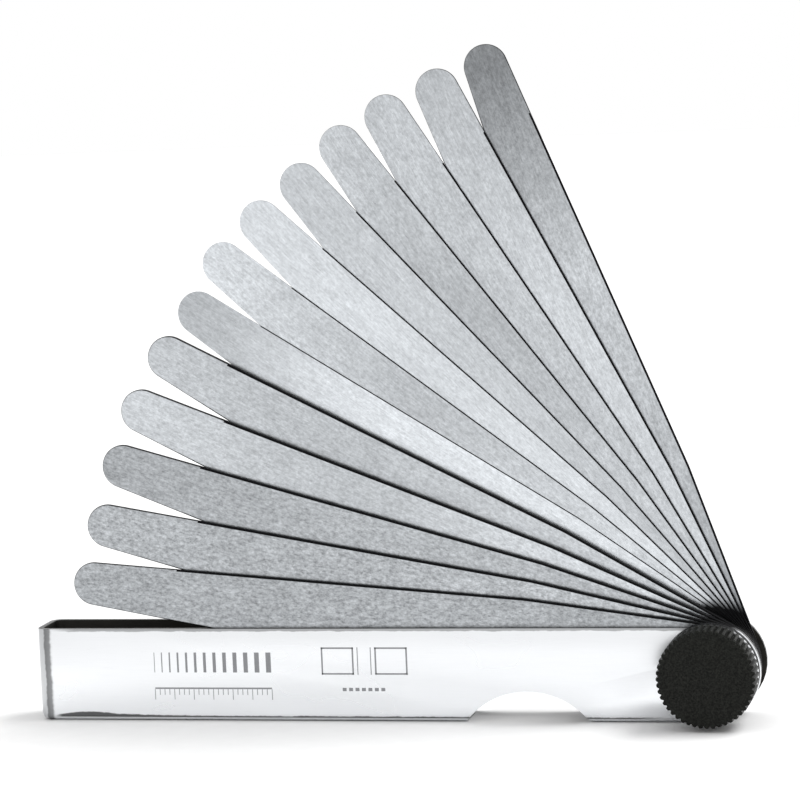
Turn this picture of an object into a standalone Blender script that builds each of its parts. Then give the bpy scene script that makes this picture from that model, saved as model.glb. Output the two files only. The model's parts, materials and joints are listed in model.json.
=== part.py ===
"""Feeler gauge: thirteen tapered steel leaves fanned out of a folded sheet-steel case.

The gauge stands on the folded lower edge of its case, with the pivot at the right (+X), the clamping
knob in front (-Y) and the leaves swinging up (+Z). The origin is on the ground, under the middle of
the whole object's box. Depths in the stack are counted along +Y from the case's front face.
"""

import math

import bmesh
import bpy
from mathutils import Matrix, Vector

MM = 0.001

# Case: one folded sheet with two cheeks, a web along the bottom and a closed left end
SHEET = 0.8 * MM
CASE_LEFT = 99.2 * MM  # pivot axis to the closed end
PIVOT_HEIGHT = 7.5 * MM  # pivot axis above the web's outer face
CHEEK_TOP = 6.1 * MM  # cheek's upper edge above the pivot axis
CHEEK_END_R = 7.05 * MM  # cheeks are rounded about the pivot
END_BEND = 1.6 * MM  # outer radius of the two upright bends
WEB_BEND = 1.2 * MM  # outer radius of the bends along the web
BEND_SEGMENTS = 5
WEB_END = 3.0 * MM  # web stops this far left of the pivot axis
WEB_END_LIP = 0.12 * MM  # what stays of the bends inside each cheek past the web's end
NOTCH_CENTRE = 26.3 * MM  # thumb notch, left of the pivot axis
NOTCH_CHORD = 18.2 * MM
NOTCH_HEIGHT = 4.5 * MM

# Leaves, front to back: thickness in mm, opening angle in degrees, overall length in mm
LEAVES = (
    (0.60, 8.0, 100.5),
    (0.70, 13.5, 99.8),
    (0.80, 19.2, 99.8),
    (0.90, 24.6, 100.0),
    (1.00, 30.1, 99.8),
    (0.05, 35.1, 99.3),
    (0.10, 40.2, 100.4),
    (0.15, 45.4, 100.1),
    (0.20, 50.5, 99.8),
    (0.25, 55.5, 100.3),
    (0.30, 60.5, 100.2),
    (0.40, 65.7, 99.8),
    (0.50, 70.6, 100.1),
)
LEAF_HALF_WIDTH = 6.45 * MM
LEAF_TIP_R = 3.15 * MM
LEAF_PARALLEL = 27.5 * MM  # parallel edges from the pivot axis to where the taper starts
LEAF_HOLE_R = 3.1 * MM
LEAF_GAP = 0.03 * MM  # oil film between neighbours

# Pivot: a sleeve that the leaves turn on, a screw through it, and a wave washer behind the stack
SLEEVE_R = 3.0 * MM
SCREW_R = 2.0 * MM
BORE_CLEARANCE = 0.1 * MM
SLEEVE_END_GAP = 0.1 * MM
SQUARE_NECK = 4.0 * MM
HEAD_R = 4.0 * MM
HEAD_HEIGHT = 1.2 * MM
FACE_GAP = 0.02 * MM  # between faces that rest on each other
SCREW_TIP = 4.8 * MM  # screw's tip in front of the case's front face
TIP_CHAMFER = 0.4 * MM
WAVE_INNER_R = 3.3 * MM
WAVE_OUTER_R = 5.6 * MM
WAVE_SHEET = 0.2 * MM
WAVE_HEIGHT = 0.1 * MM
WAVE_COUNT = 3
WAVE_ROOM = 0.5 * MM

# Knob: knurled plastic with a blind bore, a brass threaded insert and a flat washer under it
WASHER_R = 6.9 * MM
WASHER_SHEET = 1.2 * MM
WASHER_GAP = 0.1 * MM
KNOB_R = 6.95 * MM
KNOB_LENGTH = 5.0 * MM
KNOB_TEETH = 48
TOOTH_DEPTH = 0.32 * MM
KNOB_CHAMFER = 0.25 * MM
KNOB_BLIND_WALL = 1.2 * MM
INSERT_R = 3.2 * MM
INSERT_GROOVE = 0.35 * MM
INSERT_SET_BACK = 0.1 * MM

CIRCLE_SEGMENTS = 40
ARC_SEGMENTS = 16
DOME_SEGMENTS = 8
CUT_MARGIN = 1.0 * MM

STACK_FRONT = SHEET + LEAF_GAP
STACK_DEPTH = sum(thickness * MM + LEAF_GAP for thickness, _, _ in LEAVES)
CASE_DEPTH = STACK_FRONT + STACK_DEPTH + WAVE_ROOM + SHEET
BACK_CHEEK = CASE_DEPTH - SHEET  # inner face of the back cheek
HEAD_FACE = CASE_DEPTH + FACE_GAP
KNOB_BACK = -(WASHER_GAP + WASHER_SHEET + WASHER_GAP)
KNOB_FRONT = KNOB_BACK - KNOB_LENGTH

PIVOT = Vector(
    (
        (CASE_LEFT - CHEEK_END_R) / 2,
        -(KNOB_FRONT + HEAD_FACE + HEAD_HEIGHT) / 2,
        PIVOT_HEIGHT,
    )
)

BRIGHT_STEEL = ("nickel_plated_steel", (0.86, 0.87, 0.89), 0.14, 1.0)
BLADE_STEEL = ("spring_steel", (0.60, 0.62, 0.64), 0.32, 1.0)
PLAIN_STEEL = ("turned_steel", (0.62, 0.63, 0.64), 0.25, 1.0)
BLACK_PLASTIC = ("black_plastic", (0.014, 0.015, 0.013), 0.48, 0.0)
BRASS = ("brass", (0.78, 0.60, 0.28), 0.25, 1.0)


def clear_scene():
    for obj in list(bpy.data.objects):
        bpy.data.objects.remove(obj, do_unlink=True)


def new_collection(name, hidden=False):
    collection = bpy.data.collections.new(name)
    bpy.context.scene.collection.children.link(collection)
    collection.hide_render = hidden
    return collection


def material(name, colour, roughness, metallic):
    found = bpy.data.materials.get(name)
    if found:
        return found
    made = bpy.data.materials.new(name)
    made.use_nodes = True
    shader = made.node_tree.nodes["Principled BSDF"]
    shader.inputs["Base Color"].default_value = (*colour, 1.0)
    shader.inputs["Roughness"].default_value = roughness
    shader.inputs["Metallic"].default_value = metallic
    made.diffuse_color = (*colour, 1.0)
    return made


def add_object(name, mesh, collection, finish=None, smooth_angle=30.0):
    obj = bpy.data.objects.new(name, mesh)
    collection.objects.link(obj)
    if finish:
        mesh.materials.append(material(*finish))
        mesh.shade_smooth()
        mesh.set_sharp_from_angle(angle=math.radians(smooth_angle))
    else:
        obj.hide_render = True
        obj.display_type = "WIRE"
    return obj


def arc(centre, radius, start_deg, end_deg, segments=ARC_SEGMENTS):
    """Points from one angle to another about centre, both ends included."""
    points = []
    for step in range(segments + 1):
        angle = math.radians(start_deg + (end_deg - start_deg) * step / segments)
        points.append(
            (centre[0] + radius * math.cos(angle), centre[1] + radius * math.sin(angle))
        )
    return points


def circle(radius, segments=CIRCLE_SEGMENTS):
    return arc((0.0, 0.0), radius, 0.0, 360.0, segments)[:-1]


def square(side):
    half = side / 2
    return [(-half, -half), (half, -half), (half, half), (-half, half)]


def flat_mesh(name, outlines, depth):
    """Outlines in X and Z (later ones are holes), as thick as depth, with the front face at y = 0."""
    curve = bpy.data.curves.new(name, "CURVE")
    curve.dimensions = "2D"
    curve.fill_mode = "BOTH"
    curve.extrude = depth / 2
    for outline in outlines:
        spline = curve.splines.new("POLY")
        spline.points.add(len(outline) - 1)
        for point, (x, z) in zip(spline.points, outline):
            point.co = (x, z, 0.0, 1.0)
        spline.use_cyclic_u = True
    holder = bpy.data.objects.new(name, curve)
    bpy.context.scene.collection.objects.link(holder)
    graph = bpy.context.evaluated_depsgraph_get()
    mesh = bpy.data.meshes.new_from_object(holder.evaluated_get(graph))
    bpy.data.objects.remove(holder, do_unlink=True)
    mesh.name = name
    bm = bmesh.new()
    bm.from_mesh(mesh)
    bmesh.ops.remove_doubles(bm, verts=bm.verts, dist=0.0001 * MM)
    upright = Matrix.Translation((0, depth / 2, 0)) @ Matrix.Rotation(math.pi / 2, 4, "X")
    bmesh.ops.transform(bm, matrix=upright, verts=bm.verts)
    bmesh.ops.recalc_face_normals(bm, faces=bm.faces)
    bm.to_mesh(mesh)
    bm.free()
    return mesh


def box_mesh(name, low, high):
    low, high = Vector(low), Vector(high)
    bm = bmesh.new()
    placed = Matrix.Translation((low + high) / 2) @ Matrix.Diagonal((*(high - low), 1.0))
    bmesh.ops.create_cube(bm, size=1.0, matrix=placed)
    mesh = bpy.data.meshes.new(name)
    bm.to_mesh(mesh)
    bm.free()
    return mesh


def turned_object(name, profile, collection, finish=None, segments=CIRCLE_SEGMENTS):
    """Turns a profile of (radius, depth) points, its outer side from front to back, about the pivot axis."""
    points = [(radius, 0.0, -depth) for radius, depth in profile]
    count = len(points)
    closed = profile[0][0] > 0.0
    edges = [(i, (i + 1) % count) for i in range(count if closed else count - 1)]
    mesh = bpy.data.meshes.new(name)
    mesh.from_pydata(points, edges, [])
    obj = add_object(name, mesh, collection, finish)
    obj.rotation_euler = (math.pi / 2, 0.0, 0.0)
    screw = obj.modifiers.new("turn", "SCREW")
    screw.axis = "Z"
    screw.angle = math.tau
    screw.steps = segments
    screw.render_steps = segments
    screw.use_merge_vertices = True
    screw.merge_threshold = 0.001 * MM
    return obj


def boolean(obj, cutter, operation="DIFFERENCE"):
    modifier = obj.modifiers.new(cutter.name, "BOOLEAN")
    modifier.operation = operation
    modifier.solver = "EXACT"
    modifier.object = cutter


def make_case(parts, cutters):
    bm = bmesh.new()
    low = Vector((-CASE_LEFT, 0.0, -PIVOT_HEIGHT))
    high = Vector((CHEEK_END_R, CASE_DEPTH, CHEEK_TOP))
    placed = Matrix.Translation((low + high) / 2) @ Matrix.Diagonal((*(high - low), 1.0))
    bmesh.ops.create_cube(bm, size=1.0, matrix=placed)
    open_sides = [face for face in bm.faces if face.normal.z > 0.5 or face.normal.x > 0.5]
    bmesh.ops.delete(bm, geom=open_sides, context="FACES")
    weights = bm.edges.layers.float.new("bevel_weight_edge")
    for edge in bm.edges:
        upright = abs(edge.verts[0].co.z - edge.verts[1].co.z) > SHEET
        if not edge.is_boundary:
            edge[weights] = 1.0 if upright else WEB_BEND / END_BEND
    mesh = bpy.data.meshes.new("case")
    bm.to_mesh(mesh)
    bm.free()

    case = add_object("case", mesh, parts, BRIGHT_STEEL)
    bends = case.modifiers.new("bends", "BEVEL")
    bends.limit_method = "WEIGHT"
    bends.width = END_BEND
    bends.segments = BEND_SEGMENTS
    wall = case.modifiers.new("wall", "SOLIDIFY")
    wall.thickness = SHEET
    wall.offset = -1.0
    wall.use_even_offset = True

    through = CASE_DEPTH + 2 * CUT_MARGIN
    far = CHEEK_END_R + CUT_MARGIN
    corner_deg = math.degrees(math.asin(CHEEK_TOP / CHEEK_END_R))
    round_end = arc((0.0, 0.0), CHEEK_END_R, -90.0, corner_deg)
    outside = [(far, CHEEK_TOP + CUT_MARGIN), (far, -PIVOT_HEIGHT - CUT_MARGIN)]
    top_corner = (round_end[-1][0], CHEEK_TOP + CUT_MARGIN)
    bottom_corner = (0.0, -PIVOT_HEIGHT - CUT_MARGIN)
    end_outline = [*round_end, top_corner, *outside, bottom_corner]
    notch_r = (NOTCH_CHORD**2 / 4 + NOTCH_HEIGHT**2) / (2 * NOTCH_HEIGHT)
    notch_centre = (-NOTCH_CENTRE, NOTCH_HEIGHT - notch_r - PIVOT_HEIGHT)
    notch_outline = arc(notch_centre, notch_r, 0.0, 180.0, 2 * ARC_SEGMENTS)

    for name, outline in (("round_end_cut", end_outline), ("thumb_notch_cut", notch_outline)):
        cutter = add_object(name, flat_mesh(name, [outline], through), cutters)
        cutter.location = PIVOT - Vector((0, CUT_MARGIN, 0))
        boolean(case, cutter)

    web_low = (-WEB_END, SHEET + WEB_END_LIP, -PIVOT_HEIGHT - CUT_MARGIN)
    web_high = (far, BACK_CHEEK - WEB_END_LIP, -LEAF_HALF_WIDTH)
    web_cut = add_object("web_end_cut", box_mesh("web_end_cut", web_low, web_high), cutters)
    front_hole = flat_mesh("front_hole_cut", [circle(SCREW_R + BORE_CLEARANCE)], 2 * SHEET)
    front_cut = add_object("front_hole_cut", front_hole, cutters)
    back_hole = flat_mesh("back_hole_cut", [square(SQUARE_NECK + BORE_CLEARANCE)], 2 * SHEET)
    back_cut = add_object("back_hole_cut", back_hole, cutters)
    web_cut.location = PIVOT
    front_cut.location = PIVOT - Vector((0, SHEET / 2, 0))
    back_cut.location = PIVOT + Vector((0, BACK_CHEEK - SHEET / 2, 0))
    for cutter in (web_cut, front_cut, back_cut):
        boolean(case, cutter)
    case.location = PIVOT


def leaf_outline(length):
    """Round end about the pivot, parallel edges, a straight taper and a round tip, pointing to -X."""
    tip_centre = length - LEAF_HALF_WIDTH - LEAF_TIP_R
    run = tip_centre - LEAF_PARALLEL
    taper = math.asin((LEAF_HALF_WIDTH - LEAF_TIP_R) / run)
    taper_deg = math.degrees(taper)
    outline = arc((0.0, 0.0), LEAF_HALF_WIDTH, -90.0, 90.0)
    outline.append((-LEAF_PARALLEL, LEAF_HALF_WIDTH))
    outline += arc((-tip_centre, 0.0), LEAF_TIP_R, 90.0 + taper_deg, 270.0 - taper_deg)
    outline.append((-LEAF_PARALLEL, -LEAF_HALF_WIDTH))
    return outline


def make_leaves(parts):
    depth = STACK_FRONT
    for thickness, opening_deg, length in LEAVES:
        name = f"leaf_{round(thickness * 100):03d}"
        outlines = [leaf_outline(length * MM), circle(LEAF_HOLE_R)]
        leaf = add_object(name, flat_mesh(name, outlines, thickness * MM), parts, BLADE_STEEL)
        leaf.location = PIVOT + Vector((0.0, depth, 0.0))
        leaf.rotation_euler = (0.0, math.radians(opening_deg), 0.0)
        depth += thickness * MM + LEAF_GAP


def make_pivot(parts, cutters):
    sleeve_outlines = [circle(SLEEVE_R), circle(SCREW_R + BORE_CLEARANCE)]
    sleeve_depth = BACK_CHEEK - SHEET - 2 * SLEEVE_END_GAP
    sleeve_mesh = flat_mesh("pivot_sleeve", sleeve_outlines, sleeve_depth)
    sleeve = add_object("pivot_sleeve", sleeve_mesh, parts, PLAIN_STEEL)
    sleeve.location = PIVOT + Vector((0.0, SHEET + SLEEVE_END_GAP, 0.0))

    shank = [
        (0.0, -SCREW_TIP),
        (SCREW_R - TIP_CHAMFER, -SCREW_TIP),
        (SCREW_R, TIP_CHAMFER - SCREW_TIP),
        (SCREW_R, HEAD_FACE),
    ]
    dome_r = (HEAD_R**2 + HEAD_HEIGHT**2) / (2 * HEAD_HEIGHT)
    dome_centre = (0.0, HEAD_FACE + HEAD_HEIGHT - dome_r)
    rim_deg = math.degrees(math.asin((dome_r - HEAD_HEIGHT) / dome_r))
    dome = arc(dome_centre, dome_r, rim_deg, 90.0, DOME_SEGMENTS)
    dome[-1] = (0.0, HEAD_FACE + HEAD_HEIGHT)
    screw = turned_object("pivot_screw", shank + dome, parts, PLAIN_STEEL)
    neck_depth = SHEET + SHEET / 2
    neck_mesh = flat_mesh("square_neck", [square(SQUARE_NECK)], neck_depth)
    neck = add_object("square_neck", neck_mesh, cutters)
    neck.location = PIVOT + Vector((0.0, BACK_CHEEK + FACE_GAP, 0.0))
    boolean(screw, neck, "UNION")
    screw.location = PIVOT


def make_wave_washer(parts):
    """A thin ring bent into waves, which presses the stack forwards."""
    bm = bmesh.new()
    bmesh.ops.create_circle(bm, cap_ends=False, radius=WAVE_OUTER_R, segments=CIRCLE_SEGMENTS)
    rim = list(bm.edges)
    inner = bmesh.ops.extrude_edge_only(bm, edges=rim)["geom"]
    inner_verts = [item for item in inner if isinstance(item, bmesh.types.BMVert)]
    shrink = Matrix.Diagonal((WAVE_INNER_R / WAVE_OUTER_R, WAVE_INNER_R / WAVE_OUTER_R, 1.0, 1.0))
    bmesh.ops.transform(bm, matrix=shrink, verts=inner_verts)
    for vert in bm.verts:
        vert.co.z = WAVE_HEIGHT * math.cos(WAVE_COUNT * math.atan2(vert.co.y, vert.co.x))
    bmesh.ops.recalc_face_normals(bm, faces=bm.faces)
    mesh = bpy.data.meshes.new("wave_washer")
    bm.to_mesh(mesh)
    bm.free()
    washer = add_object("wave_washer", mesh, parts, PLAIN_STEEL)
    sheet = washer.modifiers.new("sheet", "SOLIDIFY")
    sheet.thickness = WAVE_SHEET
    sheet.offset = 0.0
    washer.rotation_euler = (math.pi / 2, 0.0, 0.0)
    washer.location = PIVOT + Vector((0.0, BACK_CHEEK - WAVE_ROOM / 2, 0.0))


def knurl_outline():
    """A ring of rounded teeth: each has a flat top, two flanks and a narrow root."""
    outline = []
    pitch = math.tau / KNOB_TEETH
    root_r = KNOB_R - TOOTH_DEPTH
    tooth = ((-0.30, root_r), (-0.14, KNOB_R), (0.14, KNOB_R), (0.30, root_r))
    for index in range(KNOB_TEETH):
        for share, radius in tooth:
            angle = (index + share) * pitch
            outline.append((radius * math.cos(angle), radius * math.sin(angle)))
    return outline


def make_knob(parts, cutters):
    washer_outlines = [circle(WASHER_R), circle(SCREW_R + BORE_CLEARANCE)]
    washer_mesh = flat_mesh("knob_washer", washer_outlines, WASHER_SHEET)
    washer = add_object("knob_washer", washer_mesh, parts, BRIGHT_STEEL)
    washer.location = PIVOT + Vector((0.0, -WASHER_GAP - WASHER_SHEET, 0.0))

    knob_mesh = flat_mesh("knob", [knurl_outline()], KNOB_LENGTH)
    knob = add_object("knob", knob_mesh, parts, BLACK_PLASTIC)
    knob.location = PIVOT + Vector((0.0, KNOB_FRONT, 0.0))

    bore_depth = KNOB_LENGTH - KNOB_BLIND_WALL + CUT_MARGIN
    bore_mesh = flat_mesh("knob_bore_cut", [circle(INSERT_R + BORE_CLEARANCE)], bore_depth)
    bore = add_object("knob_bore_cut", bore_mesh, cutters)
    bore.location = PIVOT + Vector((0.0, KNOB_FRONT + KNOB_BLIND_WALL, 0.0))
    boolean(knob, bore)

    edge_r = KNOB_R - TOOTH_DEPTH - KNOB_CHAMFER / 2
    slope = KNOB_R + KNOB_CHAMFER - edge_r
    envelope_profile = [
        (0.0, KNOB_FRONT - CUT_MARGIN),
        (edge_r, KNOB_FRONT - CUT_MARGIN),
        (edge_r, KNOB_FRONT),
        (edge_r + slope, KNOB_FRONT + slope),
        (edge_r + slope, KNOB_BACK - slope),
        (edge_r, KNOB_BACK),
        (edge_r, KNOB_BACK + CUT_MARGIN),
        (0.0, KNOB_BACK + CUT_MARGIN),
    ]
    envelope = turned_object("knob_chamfers", envelope_profile, cutters, segments=2 * KNOB_TEETH)
    envelope.location = PIVOT
    boolean(knob, envelope, "INTERSECT")

    back = KNOB_BACK - INSERT_SET_BACK
    front = KNOB_FRONT + KNOB_BLIND_WALL + INSERT_SET_BACK
    third = (back - front) / 3
    insert_profile = [
        (INSERT_R, front),
        (INSERT_R, front + third),
        (INSERT_R - INSERT_GROOVE, front + third),
        (INSERT_R - INSERT_GROOVE, back - third),
        (INSERT_R, back - third),
        (INSERT_R, back),
        (SCREW_R + BORE_CLEARANCE, back),
        (SCREW_R + BORE_CLEARANCE, front),
    ]
    insert = turned_object("knob_insert", insert_profile, parts, BRASS)
    insert.location = PIVOT


def main():
    clear_scene()
    parts = new_collection("feeler_gauge")
    cutters = new_collection("cutters", hidden=True)
    make_case(parts, cutters)
    make_leaves(parts)
    make_pivot(parts, cutters)
    make_wave_washer(parts)
    make_knob(parts, cutters)


main()
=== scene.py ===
"""Looks of the feeler gauge: steel leaves fanned out of a bright folded case, with a black knob.

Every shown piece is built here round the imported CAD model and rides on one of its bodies.
Outlines are drawn in X and Z about the pivot, and depths run along +Y from the case's front face.
"""

import json
import math

import bmesh
import bpy
from mathutils import Matrix, Vector

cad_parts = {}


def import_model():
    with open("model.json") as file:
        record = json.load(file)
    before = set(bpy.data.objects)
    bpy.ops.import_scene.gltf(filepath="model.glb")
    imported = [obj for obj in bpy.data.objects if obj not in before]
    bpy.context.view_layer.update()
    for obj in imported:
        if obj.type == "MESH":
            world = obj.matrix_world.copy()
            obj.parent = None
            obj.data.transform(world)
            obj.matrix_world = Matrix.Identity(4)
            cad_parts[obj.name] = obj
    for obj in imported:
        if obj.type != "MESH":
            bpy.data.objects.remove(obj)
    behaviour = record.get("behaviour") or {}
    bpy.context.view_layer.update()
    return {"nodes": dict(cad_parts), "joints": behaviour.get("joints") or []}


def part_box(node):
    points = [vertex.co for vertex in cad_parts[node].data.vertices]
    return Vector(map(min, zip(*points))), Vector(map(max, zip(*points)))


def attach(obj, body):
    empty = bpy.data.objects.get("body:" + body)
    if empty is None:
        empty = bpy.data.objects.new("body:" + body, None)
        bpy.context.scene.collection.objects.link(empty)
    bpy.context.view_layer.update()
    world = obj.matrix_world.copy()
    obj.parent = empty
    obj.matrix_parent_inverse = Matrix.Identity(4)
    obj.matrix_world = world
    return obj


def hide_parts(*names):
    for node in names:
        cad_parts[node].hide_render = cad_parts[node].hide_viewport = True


MM = 0.001

# Edges that turn by more than this stay sharp in the shading
SMOOTH_DEG = 32.0
SCREW_SMOOTH_DEG = 25.0
KNOB_SMOOTH_DEG = 28.0

# Case. CHEEK_TOP is measured up from the pivot, and each reach from the case's outer face
SHEET = 0.8 * MM
CASE_EDGE_ROUND = 0.12 * MM
CHEEK_TOP = 6.1 * MM
CHEEK_BEND_REACH_IN = 1.0 * MM
WEB_BEND_REACH_IN = 2.0 * MM
END_BEND_REACH_IN = 3.0 * MM
WEB_BEND_REACH_OUT = 1.3 * MM
END_BEND_REACH_OUT = 1.7 * MM
OUTSIDE, INSIDE, CUT_EDGE = 0, 1, 2

# Leaves
LEAF_HALF_WIDTH = 6.45 * MM
LEAF_TIP_R = 3.15 * MM
LEAF_PARALLEL = 27.5 * MM
LEAF_HOLE_R = 3.1 * MM
LEAF_EDGE_ROUND = 0.2 * MM
LEAF_LEAST_SPACING_DEG = 5.0
# Width of face along a leaf's overlapped upper edge that is painted dark as shade between the
# leaves
OVERLAP_SHADE_STRIP = 0.12 * MM
THICK_LEAVES = 5
# How far out from the pivot the painted shade at the leaves' roots reaches, on thick and thin
# leaves
ROOT_SHADE_R_THICK = 6.7 * MM
ROOT_SHADE_R_THIN = 8.7 * MM

# Pivot and knob
SLEEVE_R = 3.0 * MM
SLEEVE_CHAMFER = 0.12 * MM
SCREW_R = 2.0 * MM
SCREW_TIP_TAPER = 0.5 * MM
BORE_R = 2.1 * MM
SQUARE_NECK = 4.0 * MM
HEAD_R = 4.0 * MM
HEAD_HEIGHT = 1.2 * MM
HEAD_LIP = 0.15 * MM
THREAD_DEPTH = 0.3 * MM
THREAD_PITCH = 0.7 * MM
THREAD_END = -0.4 * MM
WAVE_INNER_R = 3.3 * MM
WAVE_OUTER_R = 5.6 * MM
WAVE_SHEET = 0.2 * MM
WAVE_HEIGHT = 0.1 * MM
WAVES = 3
WASHER_R = 6.9 * MM
KNOB_R = 6.95 * MM
KNOB_EDGE_ROUND = 0.45 * MM
KNOB_TEETH = 48
TOOTH_DEPTH = 0.42 * MM
POINTS_PER_TOOTH = 12
KNOB_BORE_R = 3.3 * MM
KNOB_BLIND_WALL = 1.2 * MM
INSERT_R = 3.2 * MM
INSERT_GROOVE = 0.35 * MM
INSERT_BEVEL = 0.08 * MM

# Generic marks, in millimetres from the pivot
STROKES = 13
STROKES_LEFT = -81.3
STROKE_GAP = 0.98
STROKE_HEIGHTS = (-0.3, 2.65)
RULER_HEIGHTS = (-2.75, -2.5)
RULER_STEPS = 24
TICK_HALF_WIDTH = 0.06
LONG_TICK_END, SHORT_TICK_END = -4.3, -3.6
GAP_SIGN_BOXES = ((-56.2, -51.4), (-48.3, -43.5))
GAP_SIGN_BARS = ((-50.9, -50.75), (-48.95, -48.8))
GAP_SIGN_HEIGHTS = (-0.6, 3.4)
GAP_SIGN_LINE = 0.25
DASHES = 7
DASHES_LEFT = -53.2
DASH_STEP, DASH_LENGTH = 0.95, 0.6
DASH_HEIGHTS = (-3.0, -2.5)
MARK_SINK, MARK_RISE = 0.01 * MM, 0.004 * MM

# Each leaf's brightness, as the eye sees it, at the tip, in the middle and near the case, partly
# its own tone and partly painted reflection, and how coarse its grain is
LEAF_LOOKS = {
    "leaf_060": (0.67, 0.67, 0.68, 1.9),
    "leaf_070": (0.7, 0.68, 0.75, 1.9),
    "leaf_080": (0.65, 0.7, 0.72, 1.6),
    "leaf_090": (0.79, 0.74, 0.84, 1.1),
    "leaf_100": (0.76, 0.72, 0.79, 1.1),
    "leaf_005": (0.71, 0.88, 0.86, 0.8),
    "leaf_010": (0.83, 0.73, 0.83, 1.0),
    "leaf_015": (0.84, 0.82, 0.86, 0.7),
    "leaf_020": (0.78, 0.77, 0.75, 0.8),
    "leaf_025": (0.78, 0.7, 0.79, 1.0),
    "leaf_030": (0.77, 0.76, 0.75, 1.0),
    "leaf_040": (0.73, 0.8, 0.8, 0.9),
    "leaf_050": (0.53, 0.77, 0.68, 1.2),
}
LEAF_TONES_AT = (0.03, 0.38, 0.9)
# Tone of the painted shade at the leaves' roots
ROOT_SHADE_TONE = 0.18

# Case plating's painted reflections: (position, tone) along the end bend and up the web bend, and
# (position, width) of the painted dark reflection above the web, from the closed end
NICKEL = (0.95, 0.965, 0.985)
END_BEND_BAND = 2.8 * MM
END_BEND_TONES = (0.0, 0.8), (0.4, 0.82), (0.47, 0.52), (0.72, 0.6), (0.82, 0.97), (0.9, 1.0)
WEB_BEND_BAND = 1.6 * MM
WEB_BEND_TONES = (0.0, 0.74), (0.07, 0.74), (0.13, 0.97), (0.32, 0.98), (0.6, 1.0), (0.7, 1.0)
DARK_REFLECTION_BAND = 30.0 * MM
DARK_REFLECTION_WIDEST = 2.0 * MM
DARK_REFLECTION_WIDTHS = (
    (0.0, 0.36),
    (0.07, 0.37),
    (0.16, 0.64),
    (0.28, 0.69),
    (0.42, 0.525),
    (0.7, 0.43),
    (1.0, 0.4),
)

# Most of the range that noise covers
NOISE_LOW, NOISE_HIGH = 0.3, 0.7

# Light
FLOOR_SIZE = 3.0
SUN_ENERGY = 2.1
SUN_WIDTH_DEG = 28.0
SUN_TURNS_DEG = (-12.0, 30.0, 0.0)

# Camera, from the pivot at the case's front face
CAMERA_FROM_PIVOT = Vector((58.2, -442.0, 87.4)) * MM
CAMERA_YAW = math.radians(12.89)
CAMERA_PITCH = math.radians(6.1)
CAMERA_ROLL = math.radians(-2.42)
CAMERA_LENS = 144.9
CAMERA_SENSOR = 36.0
CAMERA_CLIP = (0.02, 50.0)


# ---------------------------------------------------------------- materials


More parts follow.
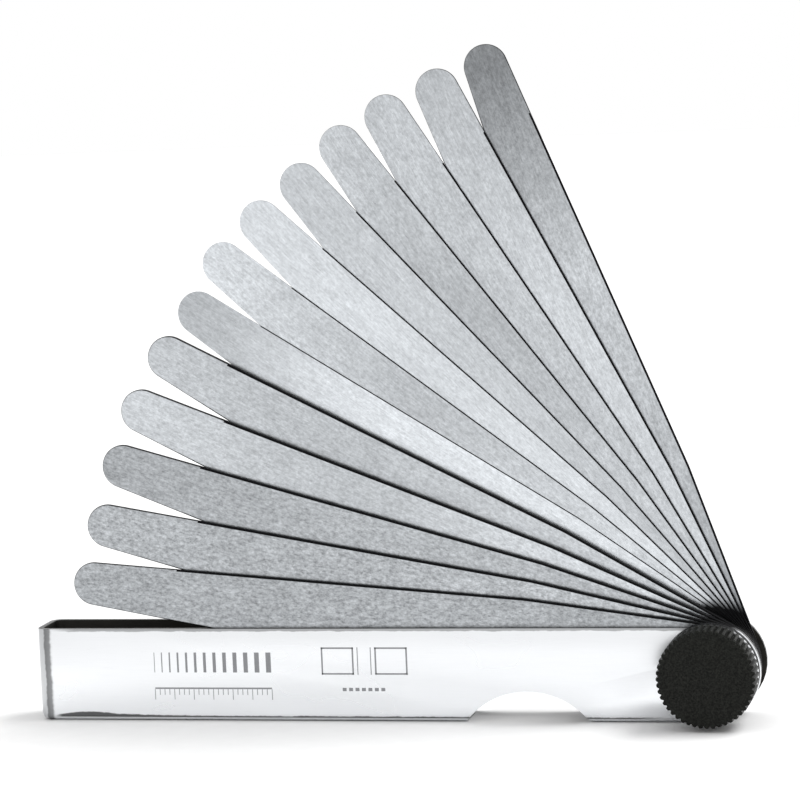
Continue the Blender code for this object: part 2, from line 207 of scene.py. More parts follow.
class Surface:
    """A material under construction: its Principled shader, and the nodes that feed it."""

    def __init__(self, name, colour, roughness, metallic, level=0.5, turn=0.0):
        """level is the specular level, and turn undoes the piece's own turn about Y."""
        self.turn = turn
        self.material = bpy.data.materials.new(name)
        self.material.use_nodes = True
        self.tree = self.material.node_tree
        self.shader = self.tree.nodes["Principled BSDF"]
        self.set("Base Color", (*colour, 1.0))
        self.set("Roughness", roughness)
        self.set("Metallic", metallic)
        self.set("Specular IOR Level", level)
        self.material.diffuse_color = (*colour, 1.0)

    def set(self, socket, value):
        self.put(self.shader.inputs[socket], value)

    def put(self, socket, value):
        if isinstance(value, bpy.types.NodeSocket):
            self.tree.links.new(value, socket)
        else:
            socket.default_value = value

    def node(self, kind, inputs, output=0, **settings):
        made = self.tree.nodes.new(kind)
        for name, value in settings.items():
            setattr(made, name, value)
        for key, value in inputs.items():
            self.put(made.inputs[key], value)
        return made.outputs[output]

    def place(self):
        """The point on the piece, turned back about Y where the piece lies at an angle."""
        point = self.node("ShaderNodeTexCoord", {}, output="Object")
        if not self.turn:
            return point
        turned_back = {"Vector": point, "Angle": self.turn}
        return self.node("ShaderNodeVectorRotate", turned_back, rotation_type="Y_AXIS")

    def axes(self):
        """X, Y and Z of the point on the piece."""
        split = self.tree.nodes.new("ShaderNodeSeparateXYZ")
        self.put(split.inputs[0], self.place())
        return tuple(split.outputs[axis] for axis in "XYZ")

    def length(self, vector):
        return self.node(
            "ShaderNodeVectorMath", {0: vector}, output="Value", operation="LENGTH"
        )

    def noise(self, size, stretch=(1.0, 1.0, 1.0), detail=3.0, rough=0.55, seed=0.0):
        """Noise whose features are about size across, longer by stretch along each axis."""
        scale = tuple(1.0 / (size * factor) for factor in stretch)
        location = (seed, 2.3 * seed, 0.7 * seed)
        mapped = self.node(
            "ShaderNodeMapping", {"Vector": self.place(), "Scale": scale, "Location": location}
        )
        return self.node(
            "ShaderNodeTexNoise",
            {"Vector": mapped, "Scale": 1.0, "Detail": detail, "Roughness": rough},
        )

    def spread(self, value, low, high, out_low, out_high):
        """value between low and high taken to between out_low and out_high."""
        numbers = {"From Min": low, "From Max": high, "To Min": out_low, "To Max": out_high}
        return self.node("ShaderNodeMapRange", {"Value": value, **numbers})

    def vary(self, noise, out_low, out_high):
        """noise taken to between out_low and out_high."""
        return self.spread(noise, NOISE_LOW, NOISE_HIGH, out_low, out_high)

    def rise(self, value, low, high):
        """0 below low and 1 above high."""
        return self.spread(value, low, high, 0.0, 1.0)

    def fall(self, value, low, high):
        """1 below low and 0 above high."""
        return self.spread(value, low, high, 1.0, 0.0)

    def darken(self, mask, tone):
        """The factor that darkens a colour to tone where mask is 1."""
        return self.spread(mask, 0.0, 1.0, 1.0, linear(tone))

    def maths(self, operation, first, second):
        return self.node("ShaderNodeMath", {0: first, 1: second}, operation=operation)

    def times(self, *factors):
        product = factors[0]
        for factor in factors[1:]:
            product = self.maths("MULTIPLY", product, factor)
        return product

    def ramp(self, value, stops):
        made = self.tree.nodes.new("ShaderNodeValToRGB")
        elements = made.color_ramp.elements
        while len(elements) < len(stops):
            elements.new(0.5)
        for element, (position, colour) in zip(elements, stops):
            element.position = position
            element.color = (*colour, 1.0)
        self.put(made.inputs["Fac"], value)
        return made.outputs["Color"]

    def scaled(self, colour, factor):
        """colour with all three parts multiplied by factor."""
        return self.node(
            "ShaderNodeVectorMath", {0: colour, "Scale": factor}, operation="SCALE"
        )

    def bump(self, height, distance, strength=1.0):
        bumped = self.node(
            "ShaderNodeBump", {"Height": height, "Distance": distance, "Strength": strength}
        )
        self.set("Normal", bumped)


def linear(tone):
    """The light that the eye sees as tone, from 0 to 1."""
    return ((tone + 0.055) / 1.055) ** 2.4


def steel_colour(tone):
    return (linear(tone) * 0.95, linear(tone) * 0.99, linear(tone) * 1.03)


def tone_stops(stops):
    """Ramp stops of plain grey from (position, tone) pairs."""
    return [(at, (linear(tone),) * 3) for at, tone in stops]


def leaf_face(name, tones, coarseness, length, opening, root_shade_r, seed):
    """Ground spring steel: a drift of tone along the leaf, partly painted reflection, clouds,
    lengthwise scratches, grain, and painted shade at the root."""
    surface = Surface(name, steel_colour(tones[1]), 0.34, 1.0, turn=-opening)
    along, _, _ = surface.axes()
    # Painted reflection along the leaf, mixed with the steel's own tone
    stops = [(at, steel_colour(tone)) for at, tone in zip(LEAF_TONES_AT, tones)]
    tone_and_reflection = surface.ramp(surface.rise(along, -length, 0.0), stops)
    lengthwise = {"detail": 3.0, "seed": seed + 1.0}
    clouds = surface.noise(7.0 * MM, stretch=(2.2, 1.0, 1.0), detail=2.0, seed=seed)
    scratches = surface.noise(0.16 * MM, stretch=(14.0, 1.0, 1.0), **lengthwise)
    coarse = {"detail": 4.0, "rough": 0.7, "seed": seed + 2.0}
    grain = surface.noise(0.34 * MM, stretch=(1.7, 1.0, 1.0), **coarse)
    blotchy = {"detail": 4.0, "rough": 0.65, "seed": seed + 3.0}
    patches = surface.noise(1.5 * MM, stretch=(2.5, 1.0, 1.0), **blotchy)
    grain_low, grain_high = 1.0 - 0.3 * coarseness, 1.0 + 0.26 * coarseness
    factor = surface.times(
        surface.vary(clouds, 0.95, 1.05),
        surface.vary(scratches, 0.88, 1.1),
        surface.spread(grain, 0.25, 0.75, grain_low, grain_high),
        surface.vary(patches, 0.92, 1.07),
    )
    # Painted shade at the root, where the leaves in front shade those behind
    radius = surface.length(surface.place())
    radius = surface.maths("ADD", radius, surface.vary(patches, -0.3 * MM, 0.3 * MM))
    fade = 0.6 * MM
    painted_darkening = surface.spread(radius, root_shade_r - fade, root_shade_r + fade, linear(ROOT_SHADE_TONE), 1.0)
    surface.set("Base Color", surface.scaled(tone_and_reflection, surface.times(factor, painted_darkening)))
    surface.set("Roughness", surface.vary(scratches, 0.27, 0.42))
    surface.bump(surface.maths("ADD", scratches, grain), 0.002 * MM, 0.5)
    return surface.material


def leaf_edge():
    """The sheared and ground edge of the strip, darker than its faces, with marks across it; its
    near-black tone is partly painted shade.
    """
    surface = Surface("leaf_edge_steel_and_shade", (0.006, 0.006, 0.0065), 0.5, 1.0)
    marks = surface.noise(0.12 * MM, stretch=(1.0, 8.0, 1.0), detail=2.0)
    colours = [(0.3, (0.003, 0.003, 0.0032)), (0.7, (0.012, 0.012, 0.013))]
    surface.set("Base Color", surface.ramp(marks, colours))
    surface.set("Roughness", surface.vary(marks, 0.42, 0.6))
    surface.bump(marks, 0.004 * MM)
    return surface.material


def plated(name):
    """Bright nickel over drawn sheet: faint lines along X, fine scratches, slightly uneven gloss.

    The colour isn't set: it is NICKEL times the second thing returned.
    """
    surface = Surface(name, NICKEL, 0.3, 1.0)
    lines = surface.noise(0.11 * MM, stretch=(60.0, 1.0, 1.0), detail=3.0)
    clouds = surface.noise(9.0 * MM, stretch=(2.0, 1.0, 1.0), detail=2.0, seed=4.0)
    wear = surface.noise(0.5 * MM, stretch=(6.0, 1.0, 1.0), detail=5.0, rough=0.7, seed=6.0)
    factor = surface.times(
        surface.vary(lines, 0.985, 1.01),
        surface.vary(clouds, 0.985, 1.01),
        surface.spread(wear, 0.62, 0.75, 1.0, 0.955),
    )
    surface.set("Roughness", surface.vary(clouds, 0.25, 0.34))
    surface.bump(lines, 0.0008 * MM, 0.4)
    return surface, factor


def case_outside(left, bottom):
    """The case's plating, with painted reflections at its bends, above the web and along its top
    edge, painted contact shadow with some grime round the washer, and painted shade towards the
    top."""
    surface, factor = plated("bright_nickel")
    x, y, z = surface.axes()
    ripple = surface.noise(1.1 * MM, stretch=(1.6, 1.0, 1.0), detail=4.0, rough=0.6, seed=8.0)
    ripple = surface.vary(ripple, -0.12 * MM, 0.12 * MM)
    from_end = surface.maths("SUBTRACT", x, left)
    from_web = surface.maths("SUBTRACT", z, bottom)
    rippled_end = surface.maths("ADD", from_end, ripple)
    rippled_web = surface.maths("ADD", from_web, surface.times(ripple, 0.7))

    # Painted reflections: tones along the end bend and up the web bend
    end_share = surface.rise(rippled_end, 0.0, END_BEND_BAND)
    end_bend_reflection = surface.ramp(end_share, tone_stops(END_BEND_TONES))
    web_share = surface.rise(from_web, 0.0, WEB_BEND_BAND)
    web_bend_reflection = surface.ramp(web_share, tone_stops(WEB_BEND_TONES))

    # Painted dark reflection above the web bend, its width changing along the case
    widths = [(at, (width,) * 3) for at, width in DARK_REFLECTION_WIDTHS]
    reach = surface.ramp(surface.rise(from_end, 0.0, DARK_REFLECTION_BAND), widths)
    reach = surface.times(reach, DARK_REFLECTION_WIDEST)
    dark_reflection = surface.times(
        surface.fall(surface.maths("SUBTRACT", rippled_web, reach), -0.07 * MM, 0.07 * MM),
        surface.rise(from_web, 0.5 * MM, 0.62 * MM),
        surface.rise(from_end, 2.4 * MM, 3.4 * MM),
        surface.spread(from_end, 88.0 * MM, 92.0 * MM, 1.0, 0.25),
    )
    height = CHEEK_TOP - bottom
    # Painted reflection: a grey band along the top edge
    top_edge_reflection = surface.times(
        surface.rise(rippled_web, height - 0.42 * MM, height - 0.3 * MM),
        surface.rise(from_end, 2.0 * MM, 6.0 * MM),
    )
    # Painted contact shadow round the washer, with some grime
    across = surface.node("ShaderNodeCombineXYZ", {"X": x, "Y": z})
    painted_darkening = surface.times(
        surface.fall(surface.length(across), 6.72 * MM, 6.84 * MM),
        surface.rise(x, 0.5 * MM, 2.0 * MM),
        surface.fall(y, 0.4 * MM, 0.7 * MM),
    )
    shades = surface.times(
        factor,
        surface.darken(dark_reflection, 0.42),
        surface.darken(top_edge_reflection, 0.72),
        surface.darken(painted_darkening, 0.25),
        # Painted shade: darker towards the top, evening out the lower face's reflection of the
        # shaded floor
        surface.spread(from_web, 2.5 * MM, 8.5 * MM, 1.0, 0.9),
    )
    nickel = surface.scaled(NICKEL, shades)
    for bend in (end_bend_reflection, web_bend_reflection):
        nickel = surface.node(
            "ShaderNodeVectorMath", {0: nickel, 1: bend}, operation="MULTIPLY"
        )
    surface.set("Base Color", nickel)
    return surface.material


def washer_plate():
    """The washer's plating, with painted dark reflection next to the leaves and clean towards the
    round end.
    """
    surface, factor = plated("washer_nickel")
    x, _, z = surface.axes()
    patches = surface.noise(0.7 * MM, detail=3.0, seed=2.0)
    # Painted dark reflection by bearing round the pivot, darker towards the leaves
    bearing = surface.maths("ARCTAN2", z, x)
    bearing = surface.maths("ADD", bearing, surface.vary(patches, -0.25, 0.25))
    painted_darkening = surface.spread(bearing, 0.75, 1.15, 1.0, linear(0.3))
    surface.set("Base Color", surface.scaled(NICKEL, surface.times(factor, painted_darkening)))
    return surface.material


def case_inside_shade():
    """Dark inside of the case, painted as shade in its hollow, with stains."""
    surface = Surface("case_inside_shade", (0.02, 0.02, 0.018), 0.5, 1.0)
    stains = surface.noise(2.5 * MM, stretch=(3.0, 1.0, 1.0), detail=5.0, rough=0.65)
    colours = [(0.3, (0.012, 0.012, 0.011)), (0.75, (0.04, 0.038, 0.034))]
    surface.set("Base Color", surface.ramp(stains, colours))
    surface.set("Roughness", surface.vary(stains, 0.4, 0.62))
    surface.bump(surface.noise(0.2 * MM, stretch=(12.0, 1.0, 1.0)), 0.003 * MM)
    return surface.material


def cut_edge():
    """The edge of the sheet where it was blanked, with torn streaks along it: dark, partly its
    own dull steel and partly painted shade.
    """
    surface = Surface("case_cut_edge_and_shade", (0.05, 0.05, 0.05), 0.4, 1.0)
    tears = surface.noise(0.1 * MM, stretch=(5.0, 2.0, 1.0), detail=3.0)
    colours = [(0.35, (0.018, 0.018, 0.017)), (0.75, (0.11, 0.11, 0.112))]
    surface.set("Base Color", surface.ramp(tears, colours))
    surface.set("Roughness", surface.vary(tears, 0.22, 0.42))
    surface.bump(tears, 0.003 * MM)
    return surface.material


def etched():
    """Acid-etched grey of the generic marks."""
    surface = Surface("etched_grey", (0.3, 0.305, 0.315), 0.6, 1.0)
    frost = surface.noise(0.08 * MM, detail=3.0)
    colours = [(0.3, (0.22, 0.225, 0.235)), (0.7, (0.4, 0.405, 0.42))]
    surface.set("Base Color", surface.ramp(frost, colours))
    surface.bump(frost, 0.002 * MM)
    return surface.material


def turned(name, colour, roughness):
    """Turned metal: fine rings round the pivot, a few deeper ones, small stains."""
    surface = Surface(name, colour, roughness, 1.0)
    x, y, z = surface.axes()
    radius = surface.length(surface.node("ShaderNodeCombineXYZ", {"X": x, "Y": z}))
    rings = surface.node(
        "ShaderNodeTexNoise",
        {
            "Vector": surface.node("ShaderNodeCombineXYZ", {"X": radius, "Y": y}),
            "Scale": 1.0 / (0.09 * MM),
            "Detail": 3.0,
            "Roughness": 0.6,
        },
    )
    stains = surface.noise(1.6 * MM, detail=4.0, rough=0.65, seed=3.0)
    factor = surface.times(
        surface.vary(rings, 0.88, 1.06),
        surface.spread(stains, 0.35, 0.7, 1.04, 0.88),
    )
    surface.set("Base Color", surface.scaled(colour, factor))
    surface.set("Roughness", surface.vary(rings, roughness * 0.8, roughness * 1.3))
    surface.bump(rings, 0.002 * MM)
    return surface.material


def black_plastic(name, roughness, level):
    """Moulded matt black with a fine spark-eroded texture and specks of dust."""
    surface = Surface(name, (0.008, 0.0085, 0.007), roughness, 0.0, level=level)
    texture = surface.noise(0.24 * MM, detail=4.0, rough=0.7)
    dust = surface.noise(0.3 * MM, detail=5.0, rough=0.75, seed=5.0)
    colours = [(0.35, (0.001, 0.0012, 0.0008)), (0.65, (0.0175, 0.0183, 0.0158))]
    dusty = surface.spread(dust, 0.6, 0.78, 1.0, 3.0)
    surface.set("Base Color", surface.scaled(surface.ramp(texture, colours), dusty))
    surface.set("Roughness", surface.vary(texture, 0.7 * roughness, 1.1 * roughness))
    surface.bump(texture, 0.03 * MM, 1.0)
    return surface.material


def floor_paint():
    surface = Surface("pale_floor", (0.8, 0.8, 0.8), 0.9, 0.0, level=0.1)
    grain = surface.noise(3.0 * MM, detail=3.0)
    surface.set("Base Color", surface.ramp(grain, [(0.3, (0.79,) * 3), (0.7, (0.81,) * 3)]))
    return surface.material


# ---------------------------------------------------------------- shapes


def arc(centre, radius, start_deg, end_deg, segments):
    """Points from one angle to another about centre, both ends included."""
    points = []
    for step in range(segments + 1):
        angle = math.radians(start_deg + (end_deg - start_deg) * step / segments)
        points.append(
            (centre[0] + radius * math.cos(angle), centre[1] + radius * math.sin(angle))
        )
    return points


def circle(radius, segments=96):
    return arc((0.0, 0.0), radius, 0.0, 360.0, segments)[:-1]


def inset(outline, distance):
    """A closed counter-clockwise outline moved inwards by distance."""
    moved = []
    count = len(outline)
    for index in range(count):
        before = Vector(outline[index - 1])
        here = Vector(outline[index])
        after = Vector(outline[(index + 1) % count])
        incoming, outgoing = (here - before).normalized(), (after - here).normalized()
        inward = Vector((-incoming.y - outgoing.y, incoming.x + outgoing.x)).normalized()
        slant = max(0.3, inward.dot(Vector((-incoming.y, incoming.x))))
        moved.append(tuple(here + inward * (distance / slant)))
    return moved


def rounding(radius, steps=3):
    """(inset, depth) of a rounded edge, from the flat face to the side."""
    turn = [math.pi / 2 * step / steps for step in range(steps + 1)]
    return [(radius * (1 - math.sin(angle)), radius * (1 - math.cos(angle))) for angle in turn]


def add_ring(bm, outline, depth):
    return [bm.verts.new((x, depth, z)) for x, z in outline]


def join_rings(bm, first, second):
    """Quads between two rings of equal length."""
    faces = []
    for index in range(len(first)):
        other = (index + 1) % len(first)
        quad = (first[index], first[other], second[other], second[index])
        faces.append(bm.faces.new(quad))
    return faces


def finish_mesh(bm, name, smooth_deg=SMOOTH_DEG):
    bmesh.ops.recalc_face_normals(bm, faces=bm.faces)
    mesh = bpy.data.meshes.new(name)
    bm.to_mesh(mesh)
    bm.free()
    mesh.shade_smooth()
    mesh.set_sharp_from_angle(angle=math.radians(smooth_deg))
    return mesh


def plate_mesh(name, outline, hole, thickness, edge_round, overlap):
    """A plate with a hole and rounded outer edges.

    Its faces are material 0 and its edges 1. Along the upper edge, as far out as the next plate
    overlaps it, the whole rounding and a strip of the face are 1 too, painted shade between the
    plates.
    """
    bm = bmesh.new()
    front_edge = rounding(edge_round)
    back_edge = [(gap, thickness - depth) for gap, depth in reversed(front_edge)]
    shade_strip = edge_round + OVERLAP_SHADE_STRIP
    steps = [(shade_strip, 0.0), *front_edge, *back_edge, (shade_strip, thickness)]
    rings = [add_ring(bm, inset(outline, gap), depth) for gap, depth in steps]
    bore = [add_ring(bm, hole, depth) for depth in (0.0, thickness)]
    for face in join_rings(bm, *bore):
        face.material_index = 1
    for number, (first, second) in enumerate(zip(rings, rings[1:])):
        # At either face, the first two bands are the painted shade strip and the flattest part of
        # the rounding
        outermost = 2 <= number <= len(rings) - 4
        for face in join_rings(bm, first, second):
            middle = face.calc_center_median()
            overlapped = middle.z > 0.0 and middle.x > -overlap
            face.material_index = 1 if outermost or overlapped else 0
    rims = []
    for outer, inner, rim in ((rings[0], bore[0], rings[1]), (rings[-1], bore[-1], rings[-2])):
        rims += [bm.edges.get((rim[index - 1], rim[index])) for index in range(len(rim))]
        loops = []
        for ring in (outer, inner):
            for index in range(len(ring)):
                loops.append(bm.edges.get((ring[index - 1], ring[index])))
        bmesh.ops.triangle_fill(bm, edges=loops, use_beauty=True)
        rims += loops
    bm.verts.index_update()
    sharp_at = {frozenset(vert.index for vert in edge.verts) for edge in rims}
    mesh = finish_mesh(bm, name)
    for edge in mesh.edges:
        if frozenset(edge.vertices) in sharp_at:
            edge.use_edge_sharp = True
    return mesh


def turned_mesh(name, profile, segments=120, smooth_deg=SMOOTH_DEG):
    """A closed profile of (radius, depth) points turned about the pivot axis.

    A radius of 0 is a tip.
    """
    bm = bmesh.new()
    rings = []
    for radius, depth in profile:
        if radius > 0.0:
            rings.append(add_ring(bm, circle(radius, segments), depth))
        else:
            rings.append([bm.verts.new((0.0, depth, 0.0))])
    pairs = list(zip(rings, rings[1:]))
    if len(rings[0]) > 1:
        pairs.append((rings[-1], rings[0]))
    for first, second in pairs:
        if len(first) == len(second) == 1:
            continue
        if len(first) == 1 or len(second) == 1:
            tip, ring = (first[0], second) if len(first) == 1 else (second[0], first)
            for index in range(len(ring)):
                bm.faces.new((tip, ring[index - 1], ring[index]))
        else:
            join_rings(bm, first, second)
    return finish_mesh(bm, name, smooth_deg)


def depths(node, pivot):
    """Where the node's solid starts and ends along Y, from the case's front face."""
    low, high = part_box(node)
    return low.y - pivot.y, high.y - pivot.y


def show(name, mesh, materials, body, node, place):
    """Puts a mesh in place as the shown form of a CAD node, riding on that node's body."""
    for material in materials:
        mesh.materials.append(material)
    obj = bpy.data.objects.new(name, mesh)
    bpy.context.scene.collection.objects.link(obj)
    obj.matrix_world = place
    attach(obj, body)
    if node:
        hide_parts(node)


# ---------------------------------------------------------------- case


def case_finish(face, rounded, left, bottom, back):
    """Which finish a face of the case has, where back is the depth of the back cheek's inside."""
    at, normal = face.calc_center_median(), face.normal
    slack = 0.02 * MM
    inside = (
        SHEET - slack < at.y < back + slack
        and at.x > left + SHEET - slack
        and at.z > bottom + SHEET - slack
    )
    facing_in = (
        (normal.y > 0.5 and at.y < SHEET + CHEEK_BEND_REACH_IN)
        or (normal.y < -0.5 and at.y > back - CHEEK_BEND_REACH_IN)
        or (normal.z > 0.5 and at.z < bottom + WEB_BEND_REACH_IN)
        or (normal.x > 0.5 and at.x < left + END_BEND_REACH_IN)
    )
    if inside and facing_in:
        return INSIDE
    if rounded and at.x > 0.0:
        return OUTSIDE
    outer_face = (
        abs(normal.y) > 0.6
        or (normal.z < -0.3 and at.z < bottom + WEB_BEND_REACH_OUT)
        or (normal.x < -0.3 and at.x < left + END_BEND_REACH_OUT)
    )
    below_top = at.z < CHEEK_TOP - 0.3 * MM
    return CUT_EDGE if not outer_face or (rounded and below_top) else OUTSIDE


def make_case(frame, pivot):
    """The CAD shell with its facets joined, its sheared edges rounded and its inside darkened."""
    bm = bmesh.new()
    bm.from_mesh(frame["nodes"]["case"].data)
    bmesh.ops.translate(bm, verts=bm.verts, vec=-pivot)
    bmesh.ops.remove_doubles(bm, verts=bm.verts, dist=0.0005 * MM)
    bmesh.ops.dissolve_limit(
        bm, angle_limit=math.radians(0.5), verts=bm.verts, edges=bm.edges
    )
    bmesh.ops.recalc_face_normals(bm, faces=bm.faces)
    sharp = [
        edge
        for edge in bm.edges
        if len(edge.link_faces) == 2 and edge.calc_face_angle() > math.radians(50.0)
    ]
    bevelled = bmesh.ops.bevel(
        bm,
        geom=sharp,
        offset=CASE_EDGE_ROUND,
        segments=2,
        profile=0.5,
        affect="EDGES",
        clamp_overlap=True,
    )
    rounded = set(bevelled["faces"])
    low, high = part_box("case")
    left, bottom = low.x - pivot.x, low.z - pivot.z
    back = high.y - low.y - SHEET
    for face in bm.faces:
        face.material_index = case_finish(face, face in rounded, left, bottom, back)
    finishes = [case_outside(left, bottom), case_inside_shade(), cut_edge()]
    mesh = finish_mesh(bm, "case_shell")
    place = Matrix.Translation(pivot)
    show("case_shell", mesh, finishes, "case", "case", place)


def mark_strokes():
    """(left, right, bottom, top) of every stroke of the marks, in millimetres from the pivot."""
    strokes = []
    x = STROKES_LEFT
    for step in range(STROKES):
        width = 0.12 + 0.055 * step
        strokes.append((x, x + width, *STROKE_HEIGHTS))
        x += width + STROKE_GAP
    right = x - STROKE_GAP
    ruler_low, ruler_high = RULER_HEIGHTS
    strokes.append((STROKES_LEFT, right, ruler_low, ruler_high))
    for step in range(RULER_STEPS + 1):
        at = STROKES_LEFT + (right - STROKES_LEFT) * step / RULER_STEPS
        end = LONG_TICK_END if step % 4 == 0 else SHORT_TICK_END
        strokes.append((at - TICK_HALF_WIDTH, at + TICK_HALF_WIDTH, end, ruler_low))
    low, high = GAP_SIGN_HEIGHTS
    line = GAP_SIGN_LINE
    for box_left, box_right in GAP_SIGN_BOXES:
        strokes += [
            (box_left, box_right, high - line, high),
            (box_left, box_right, low, low + line),
            (box_left, box_left + line, low, high),
            (box_right - line, box_right, low, high),
        ]
    strokes += [(bar_left, bar_right, low, high) for bar_left, bar_right in GAP_SIGN_BARS]
    for step in range(DASHES):
        at = DASHES_LEFT + step * DASH_STEP
        strokes.append((at, at + DASH_LENGTH, *DASH_HEIGHTS))
    return strokes


def make_marks(pivot):
    """Generic etched marks on the front cheek: a stepped thickness scale over a ruler, a gap sign
    and a dashed rule."""
    bm = bmesh.new()
    for x_low, x_high, z_low, z_high in mark_strokes():
        corners = [(x_low, z_low), (x_high, z_low), (x_high, z_high), (x_low, z_high)]
        corners = [(x * MM, z * MM) for x, z in corners]
        outer = add_ring(bm, corners, MARK_SINK)
        face = add_ring(bm, inset(corners, 0.01 * MM), -MARK_RISE)
        join_rings(bm, outer, face)
        bm.faces.new(face)
        bm.faces.new(outer)
    mesh = finish_mesh(bm, "etched_marks")
    place = Matrix.Translation(pivot)
    show("etched_marks", mesh, [etched()], "case", None, place)


# ---------------------------------------------------------------- leaves


def leaf_outline(length, spacing):
    """(outline, overlap): round end about the pivot, parallel edges, straight taper and round tip
    to -X.

    overlap is how far out its upper edge crosses the next leaf, spacing radians further round.
    """
    tip_centre = length - LEAF_HALF_WIDTH - LEAF_TIP_R
    taper = math.asin((LEAF_HALF_WIDTH - LEAF_TIP_R) / (tip_centre - LEAF_PARALLEL))
    taper_deg = math.degrees(taper)
    slope = math.tan(taper)
    overlap = (LEAF_HALF_WIDTH + LEAF_PARALLEL * slope) / (slope + math.tan(spacing / 2))
    outline = arc((0.0, 0.0), LEAF_HALF_WIDTH, -90.0, 90.0, 48)
    outline.append((-LEAF_PARALLEL, LEAF_HALF_WIDTH))
    outline.append((-overlap, LEAF_HALF_WIDTH - (overlap - LEAF_PARALLEL) * slope))
    outline += arc((-tip_centre, 0.0), LEAF_TIP_R, 90.0 + taper_deg, 270.0 - taper_deg, 40)
    outline.append((-LEAF_PARALLEL, -LEAF_HALF_WIDTH))
    return outline, overlap


def make_leaves(frame, pivot, edge_steel):
    openings = {
        joint["child"]: -joint["range_deg"][0]
        for joint in frame["joints"]
        if joint["child"] in LEAF_LOOKS
    }
    names = list(LEAF_LOOKS)
    for number, (node, (*tones, coarseness)) in enumerate(LEAF_LOOKS.items()):
        low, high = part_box(node)
        thickness = high.y - low.y
        opening = math.radians(openings[node])
        outwards = Vector((-math.cos(opening), 0.0, math.sin(opening)))
        corners = frame["nodes"][node].data.vertices
        reach = max((vert.co - pivot).dot(outwards) for vert in corners)
        behind = openings[names[min(number + 1, len(names) - 1)]]
        spacing = math.radians(max(behind - openings[node], LEAF_LEAST_SPACING_DEG))
        outline, overlap = leaf_outline(reach + LEAF_HALF_WIDTH, spacing)
        edge_round = min(LEAF_EDGE_ROUND, 0.3 * thickness)
        hole = circle(LEAF_HOLE_R, 64)
        mesh = plate_mesh(node + "_blade", outline, hole, thickness, edge_round, overlap)
        mesh.transform(Matrix.Rotation(opening, 4, "Y"))
        root_shade_r = ROOT_SHADE_R_THICK if number < THICK_LEAVES else ROOT_SHADE_R_THIN
        seed = 10.0 * number
        face_steel = leaf_face(node + "_steel", tones, coarseness, reach, opening, root_shade_r, seed)
        place = Matrix.Translation((pivot.x, low.y, pivot.z))
        show(node + "_blade", mesh, [face_steel, edge_steel], node, node, place)


# ---------------------------------------------------------------- pivot


def make_sleeve(pivot, steel):
    front, back = depths("pivot_sleeve", pivot)
    tube = [
        (SLEEVE_R - SLEEVE_CHAMFER, front),
        (SLEEVE_R, front + SLEEVE_CHAMFER),
        (SLEEVE_R, back - SLEEVE_CHAMFER),
        (SLEEVE_R - SLEEVE_CHAMFER, back),
        (BORE_R, back),
        (BORE_R, front),
    ]
    mesh = turned_mesh("sleeve", tube)
    place = Matrix.Translation(pivot)
    show("sleeve", mesh, [steel], "case", "pivot_sleeve", place)


def screw_profile(tip, head_face, dome_top):
    """Half section of the screw: threaded shank, and a domed head behind the back cheek."""
    root, crest = SCREW_R - THREAD_DEPTH, SCREW_R
    profile = [(0.0, tip), (SCREW_R - SCREW_TIP_TAPER, tip)]
    turn = tip + 0.3 * MM
    while turn < THREAD_END:
        profile += [
            (root, turn),
            (crest, turn + 0.3 * THREAD_PITCH),
            (crest, turn + 0.4 * THREAD_PITCH),
        ]
        turn += THREAD_PITCH
    profile += [(root, turn), (crest, turn + 0.3 * THREAD_PITCH), (crest, head_face)]
    dome_rise = HEAD_HEIGHT - HEAD_LIP
    dome_r = (HEAD_R**2 + dome_rise**2) / (2 * dome_rise)
    rim_deg = math.degrees(math.asin((dome_r - dome_rise) / dome_r))
    dome = arc((0.0, dome_top - dome_r), dome_r, rim_deg, 90.0, 16)
    dome[-1] = (0.0, dome_top)
    bevel = 0.05 * MM
    return profile + [(HEAD_R - bevel, head_face), (HEAD_R, head_face + bevel)] + dome


def make_screw(pivot, steel):
    """The screw, turned, with the square neck that the back cheek holds."""
    tip, dome_top = depths("pivot_screw", pivot)
    head_face = dome_top - HEAD_HEIGHT
    profile = screw_profile(tip, head_face, dome_top)
    bm = bmesh.new()
    bm.from_mesh(turned_mesh("screw", profile, smooth_deg=SCREW_SMOOTH_DEG))
    half = SQUARE_NECK / 2
    corners = [(-half, -half), (half, -half), (half, half), (-half, half)]
    neck = (head_face - 0.02 * MM - SHEET, head_face + 0.01 * MM)
    rings = [add_ring(bm, corners, depth) for depth in neck]
    join_rings(bm, *rings)
    bm.faces.new(rings[0])
    bm.faces.new(rings[1])
    mesh = finish_mesh(bm, "screw", SCREW_SMOOTH_DEG)
    place = Matrix.Translation(pivot)
    show("screw", mesh, [steel], "case", "pivot_screw", place)


def make_wave_washer(pivot, steel):
    front, back = depths("wave_washer", pivot)
    middle = (front + back) / 2
    bm = bmesh.new()
    corners = [(WAVE_OUTER_R, -1), (WAVE_OUTER_R, 1), (WAVE_INNER_R, 1), (WAVE_INNER_R, -1)]
    rings = []
    for radius, side in corners:
        ring = add_ring(bm, circle(radius, 120), middle + side * WAVE_SHEET / 2)
        for vert in ring:
            turn = math.atan2(vert.co.z, vert.co.x)
            vert.co.y += WAVE_HEIGHT * math.cos(WAVES * turn)
        rings.append(ring)
    for first, second in zip(rings, rings[1:] + rings[:1]):
        join_rings(bm, first, second)
    mesh = finish_mesh(bm, "spring_washer")
    place = Matrix.Translation(pivot)
    show("spring_washer", mesh, [steel], "case", "wave_washer", place)


# ---------------------------------------------------------------- clamp


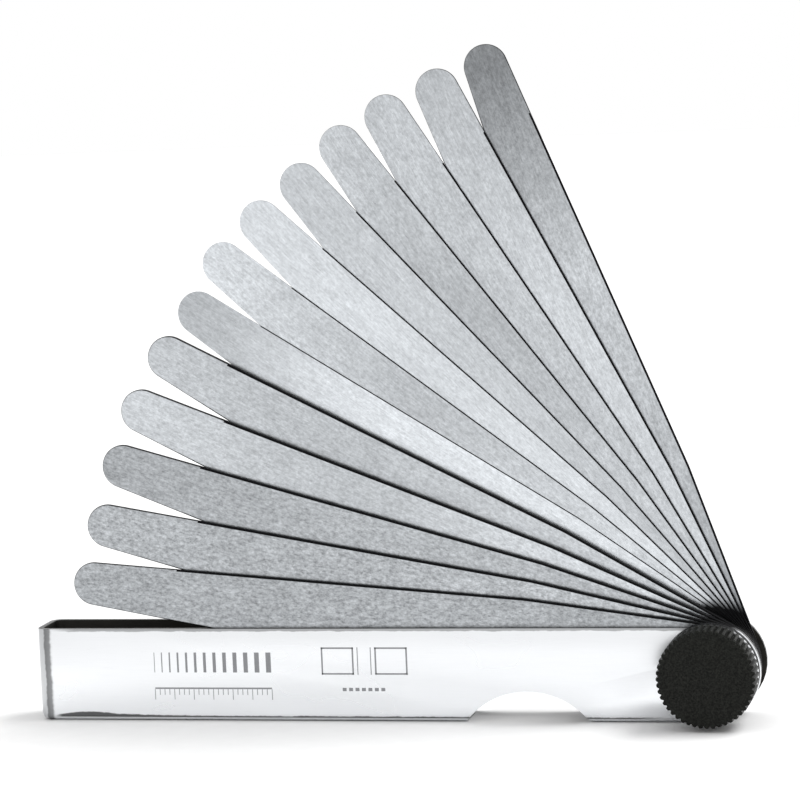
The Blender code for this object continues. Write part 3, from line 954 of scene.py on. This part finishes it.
def make_clamp_ring(pivot, plate, edge):
    """The flat washer, whose dark side wall is material 1, painted shade round its rim."""
    front, back = depths("knob_washer", pivot)
    profile = [(WASHER_R - gap, front + depth) for gap, depth in rounding(0.22 * MM, 4)]
    profile += [(WASHER_R - gap, back - depth) for gap, depth in reversed(rounding(0.1 * MM))]
    profile += [(BORE_R + 0.1 * MM, back), (BORE_R, back - 0.1 * MM), (BORE_R, front)]
    mesh = turned_mesh("clamp_ring", profile, 144)
    for face in mesh.polygons:
        outwards = Vector((face.center.x, 0.0, face.center.z)).normalized()
        if face.normal.dot(outwards) > 0.8:
            face.material_index = 1
    place = Matrix.Translation(pivot)
    show("clamp_ring", mesh, [plate, edge], "clamp_washer", "knob_washer", place)


def knurl_points():
    """(angle, radius) round the knob: teeth with flattened crests."""
    pitch = math.tau / KNOB_TEETH
    points = []
    for tooth in range(KNOB_TEETH):
        for step in range(POINTS_PER_TOOTH):
            share = step / POINTS_PER_TOOTH
            wave = 0.5 + 0.5 * math.cos(math.tau * share)
            height = min(1.0, 1.25 * wave**0.8)
            points.append(((tooth + share) * pitch, KNOB_R - TOOTH_DEPTH * (1.0 - height)))
    return points


def make_knob(pivot):
    """The knob, whose teeth and other side walls are material 1."""
    front, back = depths("knob", pivot)
    edge = rounding(KNOB_EDGE_ROUND, 5)
    steps = [(KNOB_R - gap, front + depth) for gap, depth in edge]
    steps += [(KNOB_R - gap, back - depth) for gap, depth in reversed(edge)]
    steps += [(KNOB_BORE_R, back), (KNOB_BORE_R, front + KNOB_BLIND_WALL)]
    bm = bmesh.new()
    knurl = knurl_points()
    rings = []
    for limit, depth in steps:
        points = []
        for angle, radius in knurl:
            radius = min(radius, limit)
            points.append((radius * math.cos(angle), radius * math.sin(angle)))
        rings.append(add_ring(bm, points, depth))
    for first, second in zip(rings, rings[1:]):
        join_rings(bm, first, second)
    bm.faces.new(rings[0])
    bm.faces.new(rings[-1])
    mesh = finish_mesh(bm, "thumb_knob", KNOB_SMOOTH_DEG)
    for face in mesh.polygons:
        if abs(face.normal.y) < 0.5:
            face.material_index = 1
    plastic = [
        black_plastic("matt_black_plastic", 0.46, 0.09),
        black_plastic("rubbed_black_plastic", 0.4, 0.05),
    ]
    place = Matrix.Translation(pivot)
    show("thumb_knob", mesh, plastic, "knob", "knob", place)


def make_insert(pivot):
    """The knob's brass insert, with a groove round it."""
    brass = turned("turned_brass", (0.78, 0.58, 0.27), 0.25)
    front, back = depths("knob_insert", pivot)
    third = (back - front) / 3
    groove_r = INSERT_R - INSERT_GROOVE
    profile = [
        (INSERT_R - INSERT_BEVEL, front),
        (INSERT_R, front + INSERT_BEVEL),
        (INSERT_R, front + third - INSERT_BEVEL),
        (groove_r, front + third),
        (groove_r, back - third),
        (INSERT_R, back - third + INSERT_BEVEL),
        (INSERT_R, back - INSERT_BEVEL),
        (INSERT_R - INSERT_BEVEL, back),
        (BORE_R + INSERT_BEVEL, back),
        (BORE_R, back - INSERT_BEVEL),
        (BORE_R, front),
    ]
    mesh = turned_mesh("threaded_insert", profile)
    place = Matrix.Translation(pivot)
    show("threaded_insert", mesh, [brass], "knob", "knob_insert", place)


# ---------------------------------------------------------------- stage


def make_floor():
    bm = bmesh.new()
    bmesh.ops.create_grid(bm, x_segments=8, y_segments=8, size=FLOOR_SIZE)
    mesh = bpy.data.meshes.new("floor")
    bm.to_mesh(mesh)
    bm.free()
    mesh.materials.append(floor_paint())
    floor = bpy.data.objects.new("floor", mesh)
    bpy.context.scene.collection.objects.link(floor)


def make_lights():
    """A white sky all round, and a wide sun above and behind the gauge."""
    world = bpy.data.worlds.new("studio")
    world.use_nodes = True
    background = world.node_tree.nodes["Background"]
    background.inputs["Color"].default_value = (1.0, 1.0, 1.0, 1.0)
    background.inputs["Strength"].default_value = 1.0
    bpy.context.scene.world = world
    sun = bpy.data.lights.new("overhead_glow", "SUN")
    sun.energy = SUN_ENERGY
    sun.angle = math.radians(SUN_WIDTH_DEG)
    glow = bpy.data.objects.new("overhead_glow", sun)
    glow.rotation_euler = [math.radians(turn) for turn in SUN_TURNS_DEG]
    bpy.context.scene.collection.objects.link(glow)
    bpy.context.scene.view_settings.view_transform = "Standard"


def make_camera(pivot):
    lens = bpy.data.cameras.new("camera")
    lens.lens = CAMERA_LENS
    lens.sensor_width = CAMERA_SENSOR
    lens.clip_start, lens.clip_end = CAMERA_CLIP
    camera = bpy.data.objects.new("camera", lens)
    bpy.context.scene.collection.objects.link(camera)
    ahead = Vector(
        (
            -math.sin(CAMERA_YAW) * math.cos(CAMERA_PITCH),
            math.cos(CAMERA_YAW) * math.cos(CAMERA_PITCH),
            -math.sin(CAMERA_PITCH),
        )
    )
    level = Vector((math.cos(CAMERA_YAW), math.sin(CAMERA_YAW), 0.0))
    up = level.cross(ahead)
    across = level * math.cos(CAMERA_ROLL) + up * math.sin(CAMERA_ROLL)
    upright = up * math.cos(CAMERA_ROLL) - level * math.sin(CAMERA_ROLL)
    turn = Matrix((across, upright, -ahead)).transposed().to_4x4()
    camera.matrix_world = Matrix.Translation(pivot + CAMERA_FROM_PIVOT) @ turn
    bpy.context.scene.camera = camera


def main():
    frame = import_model()
    pivot = Vector(frame["joints"][0]["pos_m"])
    edge_steel = leaf_edge()
    turned_steel = turned("turned_bright_steel", (0.6, 0.61, 0.63), 0.27)
    make_case(frame, pivot)
    make_leaves(frame, pivot, edge_steel)
    make_sleeve(pivot, turned_steel)
    make_screw(pivot, turned_steel)
    make_wave_washer(pivot, turned_steel)
    make_clamp_ring(pivot, washer_plate(), edge_steel)
    make_knob(pivot)
    make_insert(pivot)
    make_marks(pivot)
    make_floor()
    make_lights()
    make_camera(pivot)


main()
